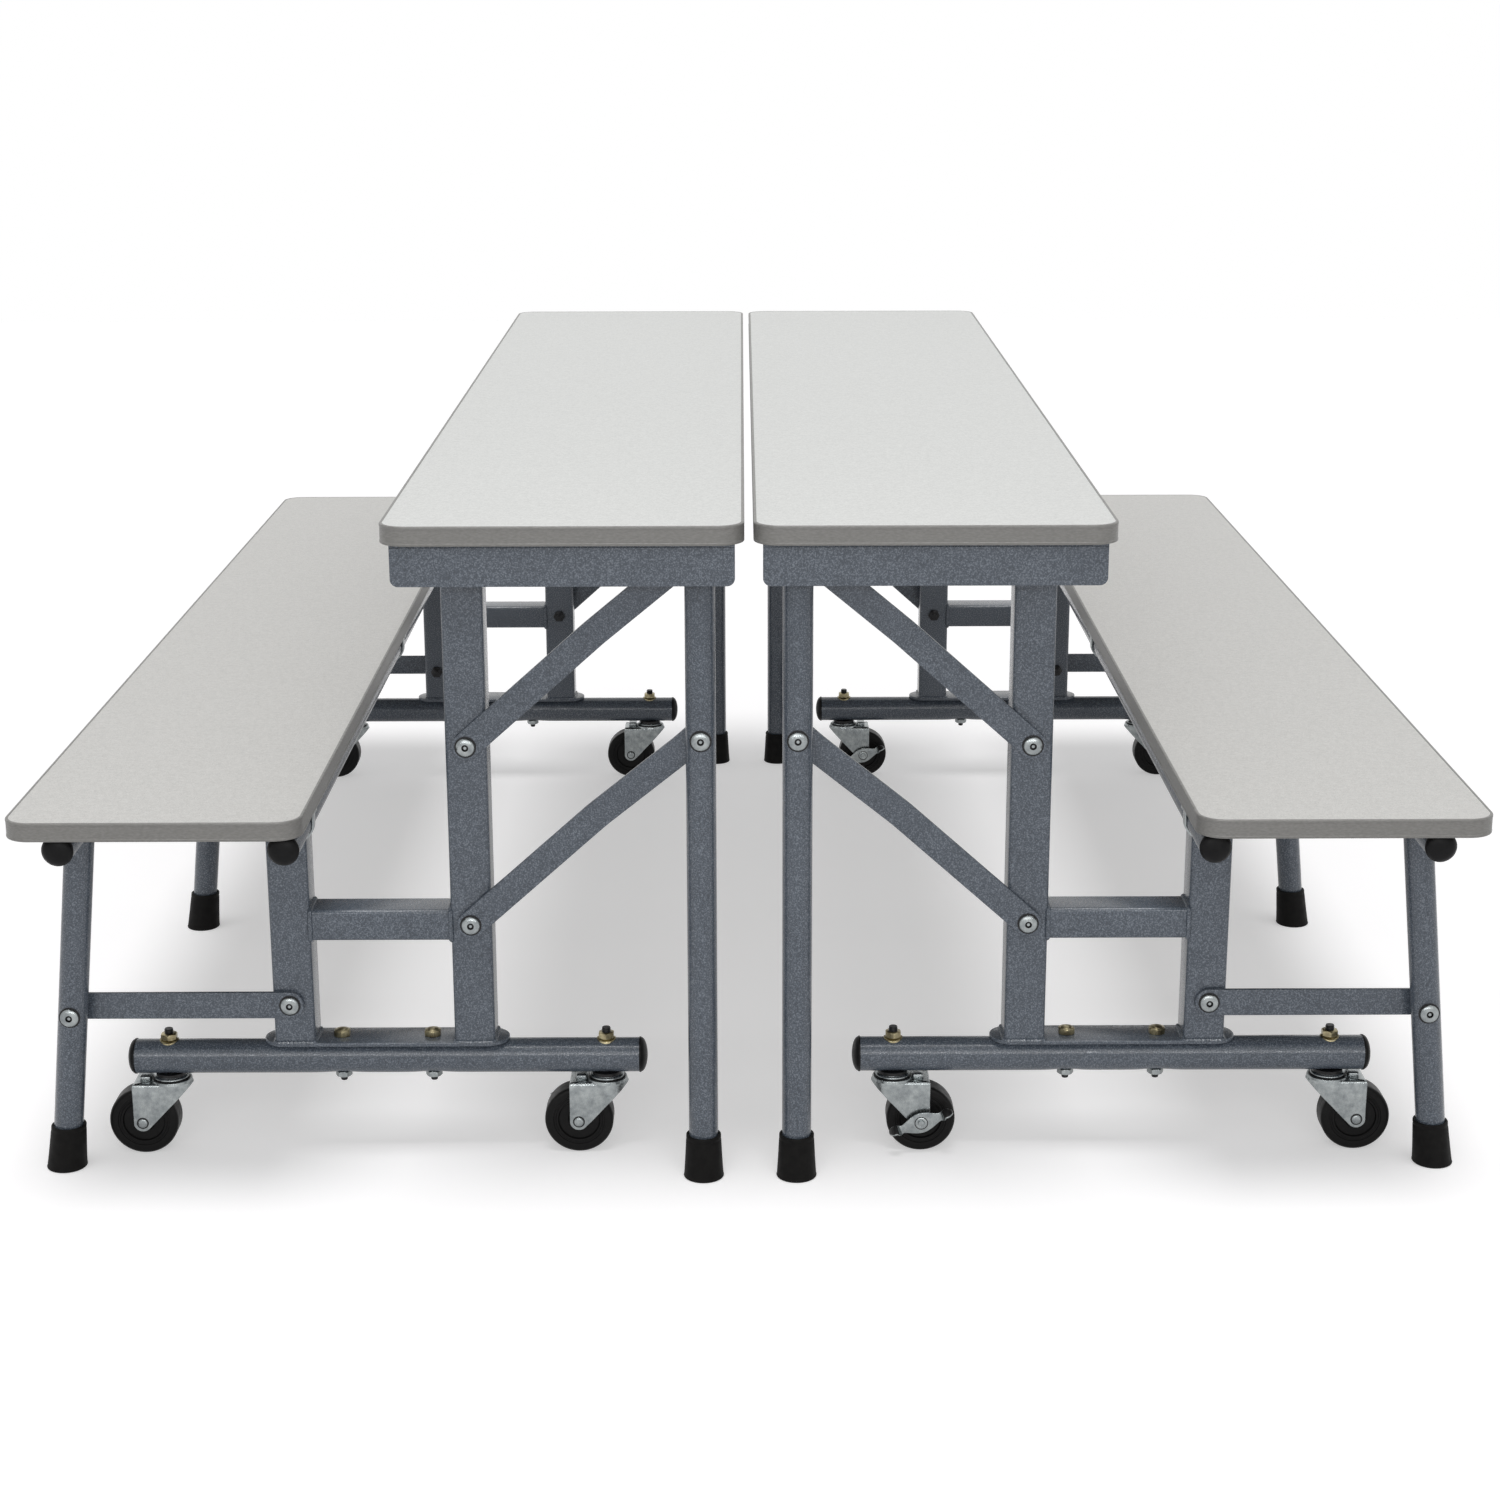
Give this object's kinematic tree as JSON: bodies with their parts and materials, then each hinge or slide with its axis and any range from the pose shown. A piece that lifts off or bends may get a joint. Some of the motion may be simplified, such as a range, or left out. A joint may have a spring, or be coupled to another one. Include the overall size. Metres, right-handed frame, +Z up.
{
  "type": "cafeteria folding table with benches",
  "caption": "Mobile cafeteria table made of two convertible units, each with half of the table top and a bench on a folding tube frame with casters.",
  "frame": {"origin": "on the floor under the middle of the table", "axes": "+X across the table towards the right bench, +Y along the table, +Z up"},
  "size_m": [1.5482, 1.829, 0.737],
  "materials": {
    "frame_paint": "blue-grey hammertone powder coat",
    "table_laminate": "pale grey speckled laminate, satin",
    "seat_laminate": "light warm grey speckled laminate, satin",
    "edging": "grey moulded vinyl edging",
    "black_rubber": "black moulded rubber, matt",
    "black_plastic": "black polyethylene, low sheen",
    "black_steel": "black painted strap steel",
    "zinc_steel": "bright zinc plate",
    "wheel_rubber": "black rubber, satin"
  },
  "bodies": {
    "left_base": {"left_end_frames": "frame_paint", "left_base_tubes": "frame_paint", "left_bench_hinge_rail": "frame_paint", "left_frame_plugs": "black_plastic", "left_frame_bolts": "zinc_steel"},
    "left_table_top": {"left_table_board": "table_laminate", "left_table_edging": "edging", "left_table_frame": "frame_paint"},
    "left_upper_braces": {"left_upper_braces": "frame_paint"},
    "left_lower_braces": {"left_lower_braces": "frame_paint"},
    "left_table_legs": {"left_table_legs": "frame_paint", "left_table_leg_tips": "black_rubber", "left_table_leg_pins": "zinc_steel"},
    "left_seat": {"left_seat_board": "seat_laminate", "left_seat_edging": "edging", "left_seat_straps": "black_steel"},
    "left_bench_legs": {"left_bench_legs": "frame_paint", "left_bench_leg_tips": "black_rubber", "left_bench_leg_bolts": "zinc_steel"},
    "left_bench_links": {"left_bench_links": "frame_paint"},
    "left_front_outer_fork": {"left_front_outer_fork": "zinc_steel"},
    "left_front_outer_wheel": {"left_front_outer_wheel": "wheel_rubber"},
    "left_front_inner_fork": {"left_front_inner_fork": "zinc_steel"},
    "left_front_inner_wheel": {"left_front_inner_wheel": "wheel_rubber"},
    "left_front_inner_brake": {"left_front_inner_brake": "zinc_steel"},
    "left_rear_outer_fork": {"left_rear_outer_fork": "zinc_steel"},
    "left_rear_outer_wheel": {"left_rear_outer_wheel": "wheel_rubber"},
    "left_rear_inner_fork": {"left_rear_inner_fork": "zinc_steel"},
    "left_rear_inner_wheel": {"left_rear_inner_wheel": "wheel_rubber"},
    "left_rear_inner_brake": {"left_rear_inner_brake": "zinc_steel"},
    "right_base": {"right_end_frames": "frame_paint", "right_base_tubes": "frame_paint", "right_bench_hinge_rail": "frame_paint", "right_frame_plugs": "black_plastic", "right_frame_bolts": "zinc_steel"},
    "right_table_top": {"right_table_board": "table_laminate", "right_table_edging": "edging", "right_table_frame": "frame_paint"},
    "right_upper_braces": {"right_upper_braces": "frame_paint"},
    "right_lower_braces": {"right_lower_braces": "frame_paint"},
    "right_table_legs": {"right_table_legs": "frame_paint", "right_table_leg_tips": "black_rubber", "right_table_leg_pins": "zinc_steel"},
    "right_seat": {"right_seat_board": "seat_laminate", "right_seat_edging": "edging", "right_seat_straps": "black_steel"},
    "right_bench_legs": {"right_bench_legs": "frame_paint", "right_bench_leg_tips": "black_rubber", "right_bench_leg_bolts": "zinc_steel"},
    "right_bench_links": {"right_bench_links": "frame_paint"},
    "right_front_outer_fork": {"right_front_outer_fork": "zinc_steel"},
    "right_front_outer_wheel": {"right_front_outer_wheel": "wheel_rubber"},
    "right_front_inner_fork": {"right_front_inner_fork": "zinc_steel"},
    "right_front_inner_wheel": {"right_front_inner_wheel": "wheel_rubber"},
    "right_front_inner_brake": {"right_front_inner_brake": "zinc_steel"},
    "right_rear_outer_fork": {"right_rear_outer_fork": "zinc_steel"},
    "right_rear_outer_wheel": {"right_rear_outer_wheel": "wheel_rubber"},
    "right_rear_inner_fork": {"right_rear_inner_fork": "zinc_steel"},
    "right_rear_inner_wheel": {"right_rear_inner_wheel": "wheel_rubber"},
    "right_rear_inner_brake": {"right_rear_inner_brake": "zinc_steel"}
  },
  "joints": [
    {"name": "left_table_fold", "type": "hinge", "parent": "left_base", "child": "left_table_top", "pos_m": [-0.3015, 0, 0.686], "axis": [0, -1, 0], "range_deg": [0, 60]},
    {"name": "left_upper_brace_turn", "type": "hinge", "parent": "left_base", "child": "left_upper_braces", "pos_m": [-0.3015, 0, 0.472], "axis": [0, -1, 0], "range_deg": [0, 38.62]},
    {"name": "left_lower_brace_turn", "type": "hinge", "parent": "left_base", "child": "left_lower_braces", "pos_m": [-0.3015, 0, 0.272], "axis": [0, -1, 0], "range_deg": [0, 38.62]},
    {"name": "left_table_leg_turn", "type": "hinge", "parent": "left_lower_braces", "child": "left_table_legs", "pos_m": [-0.0505, 0, 0.496], "axis": [0, -1, 0], "range_deg": [-38.62, 0]},
    {"name": "left_seat_fold", "type": "hinge", "parent": "left_base", "child": "left_seat", "pos_m": [-0.47925, 0, 0.3958], "axis": [0, 1, 0], "range_deg": [0, 85]},
    {"name": "left_bench_link_turn", "type": "hinge", "parent": "left_base", "child": "left_bench_links", "pos_m": [-0.5015, 0, 0.18], "axis": [0, 1, 0], "range_deg": [0, 85]},
    {"name": "left_bench_leg_turn", "type": "hinge", "parent": "left_seat", "child": "left_bench_legs", "pos_m": [-0.71125, 0, 0.3958], "axis": [0, 1, 0], "range_deg": [-85, 0]},
    {"name": "left_front_outer_swivel", "type": "hinge", "parent": "left_base", "child": "left_front_outer_fork", "pos_m": [-0.6415, -0.74525, 0.0835], "axis": [0, 0, 1], "continuous": true},
    {"name": "left_front_outer_roll", "type": "hinge", "parent": "left_front_outer_fork", "child": "left_front_outer_wheel", "pos_m": [-0.6725, -0.74525, 0.0381], "axis": [0, 1, 0], "continuous": true},
    {"name": "left_front_inner_swivel", "type": "hinge", "parent": "left_base", "child": "left_front_inner_fork", "pos_m": [-0.1585, -0.74525, 0.0835], "axis": [0, 0, 1], "continuous": true},
    {"name": "left_front_inner_roll", "type": "hinge", "parent": "left_front_inner_fork", "child": "left_front_inner_wheel", "pos_m": [-0.1895, -0.74525, 0.0381], "axis": [0, 1, 0], "continuous": true},
    {"name": "left_front_inner_brake_turn", "type": "hinge", "parent": "left_front_inner_fork", "child": "left_front_inner_brake", "pos_m": [-0.1895, -0.74525, 0.0381], "axis": [0, 1, 0], "range_deg": [-40, 0]},
    {"name": "left_rear_outer_swivel", "type": "hinge", "parent": "left_base", "child": "left_rear_outer_fork", "pos_m": [-0.6415, 0.74525, 0.0835], "axis": [0, 0, 1], "continuous": true},
    {"name": "left_rear_outer_roll", "type": "hinge", "parent": "left_rear_outer_fork", "child": "left_rear_outer_wheel", "pos_m": [-0.6725, 0.74525, 0.0381], "axis": [0, 1, 0], "continuous": true},
    {"name": "left_rear_inner_swivel", "type": "hinge", "parent": "left_base", "child": "left_rear_inner_fork", "pos_m": [-0.1585, 0.74525, 0.0835], "axis": [0, 0, 1], "continuous": true},
    {"name": "left_rear_inner_roll", "type": "hinge", "parent": "left_rear_inner_fork", "child": "left_rear_inner_wheel", "pos_m": [-0.1895, 0.74525, 0.0381], "axis": [0, 1, 0], "continuous": true},
    {"name": "left_rear_inner_brake_turn", "type": "hinge", "parent": "left_rear_inner_fork", "child": "left_rear_inner_brake", "pos_m": [-0.1895, 0.74525, 0.0381], "axis": [0, 1, 0], "range_deg": [-40, 0]},
    {"name": "right_table_fold", "type": "hinge", "parent": "right_base", "child": "right_table_top", "pos_m": [0.3015, 0, 0.686], "axis": [0, 1, 0], "range_deg": [0, 60]},
    {"name": "right_upper_brace_turn", "type": "hinge", "parent": "right_base", "child": "right_upper_braces", "pos_m": [0.3015, 0, 0.472], "axis": [0, 1, 0], "range_deg": [0, 38.62]},
    {"name": "right_lower_brace_turn", "type": "hinge", "parent": "right_base", "child": "right_lower_braces", "pos_m": [0.3015, 0, 0.272], "axis": [0, 1, 0], "range_deg": [0, 38.62]},
    {"name": "right_table_leg_turn", "type": "hinge", "parent": "right_lower_braces", "child": "right_table_legs", "pos_m": [0.0505, 0, 0.496], "axis": [0, 1, 0], "range_deg": [-38.62, 0]},
    {"name": "right_seat_fold", "type": "hinge", "parent": "right_base", "child": "right_seat", "pos_m": [0.47925, 0, 0.3958], "axis": [0, -1, 0], "range_deg": [0, 85]},
    {"name": "right_bench_link_turn", "type": "hinge", "parent": "right_base", "child": "right_bench_links", "pos_m": [0.5015, 0, 0.18], "axis": [0, -1, 0], "range_deg": [0, 85]},
    {"name": "right_bench_leg_turn", "type": "hinge", "parent": "right_seat", "child": "right_bench_legs", "pos_m": [0.71125, 0, 0.3958], "axis": [0, -1, 0], "range_deg": [-85, 0]},
    {"name": "right_front_outer_swivel", "type": "hinge", "parent": "right_base", "child": "right_front_outer_fork", "pos_m": [0.6415, 0.74525, 0.0835], "axis": [0, 0, 1], "continuous": true},
    {"name": "right_front_outer_roll", "type": "hinge", "parent": "right_front_outer_fork", "child": "right_front_outer_wheel", "pos_m": [0.6725, 0.74525, 0.0381], "axis": [0, -1, 0], "continuous": true},
    {"name": "right_front_inner_swivel", "type": "hinge", "parent": "right_base", "child": "right_front_inner_fork", "pos_m": [0.1585, 0.74525, 0.0835], "axis": [0, 0, 1], "continuous": true},
    {"name": "right_front_inner_roll", "type": "hinge", "parent": "right_front_inner_fork", "child": "right_front_inner_wheel", "pos_m": [0.1895, 0.74525, 0.0381], "axis": [0, -1, 0], "continuous": true},
    {"name": "right_front_inner_brake_turn", "type": "hinge", "parent": "right_front_inner_fork", "child": "right_front_inner_brake", "pos_m": [0.1895, 0.74525, 0.0381], "axis": [0, -1, 0], "range_deg": [-40, 0]},
    {"name": "right_rear_outer_swivel", "type": "hinge", "parent": "right_base", "child": "right_rear_outer_fork", "pos_m": [0.6415, -0.74525, 0.0835], "axis": [0, 0, 1], "continuous": true},
    {"name": "right_rear_outer_roll", "type": "hinge", "parent": "right_rear_outer_fork", "child": "right_rear_outer_wheel", "pos_m": [0.6725, -0.74525, 0.0381], "axis": [0, -1, 0], "continuous": true},
    {"name": "right_rear_inner_swivel", "type": "hinge", "parent": "right_base", "child": "right_rear_inner_fork", "pos_m": [0.1585, -0.74525, 0.0835], "axis": [0, 0, 1], "continuous": true},
    {"name": "right_rear_inner_roll", "type": "hinge", "parent": "right_rear_inner_fork", "child": "right_rear_inner_wheel", "pos_m": [0.1895, -0.74525, 0.0381], "axis": [0, -1, 0], "continuous": true},
    {"name": "right_rear_inner_brake_turn", "type": "hinge", "parent": "right_rear_inner_fork", "child": "right_rear_inner_brake", "pos_m": [0.1895, -0.74525, 0.0381], "axis": [0, -1, 0], "range_deg": [-40, 0]},
    {"name": "units_apart", "type": "slide", "parent": "left_base", "child": "right_base", "axis": [1, 0, 0], "range_m": [0, 0.6]}
  ],
  "couplings": [
    {"joint": "left_upper_brace_turn", "follows": "left_table_fold", "ratio": 0.64342},
    {"joint": "left_lower_brace_turn", "follows": "left_table_fold", "ratio": 0.64342},
    {"joint": "left_table_leg_turn", "follows": "left_table_fold", "ratio": -0.64342},
    {"joint": "left_bench_link_turn", "follows": "left_seat_fold", "ratio": 1},
    {"joint": "left_bench_leg_turn", "follows": "left_seat_fold", "ratio": -1},
    {"joint": "right_upper_brace_turn", "follows": "right_table_fold", "ratio": 0.64342},
    {"joint": "right_lower_brace_turn", "follows": "right_table_fold", "ratio": 0.64342},
    {"joint": "right_table_leg_turn", "follows": "right_table_fold", "ratio": -0.64342},
    {"joint": "right_bench_link_turn", "follows": "right_seat_fold", "ratio": 1},
    {"joint": "right_bench_leg_turn", "follows": "right_seat_fold", "ratio": -1}
  ]
}
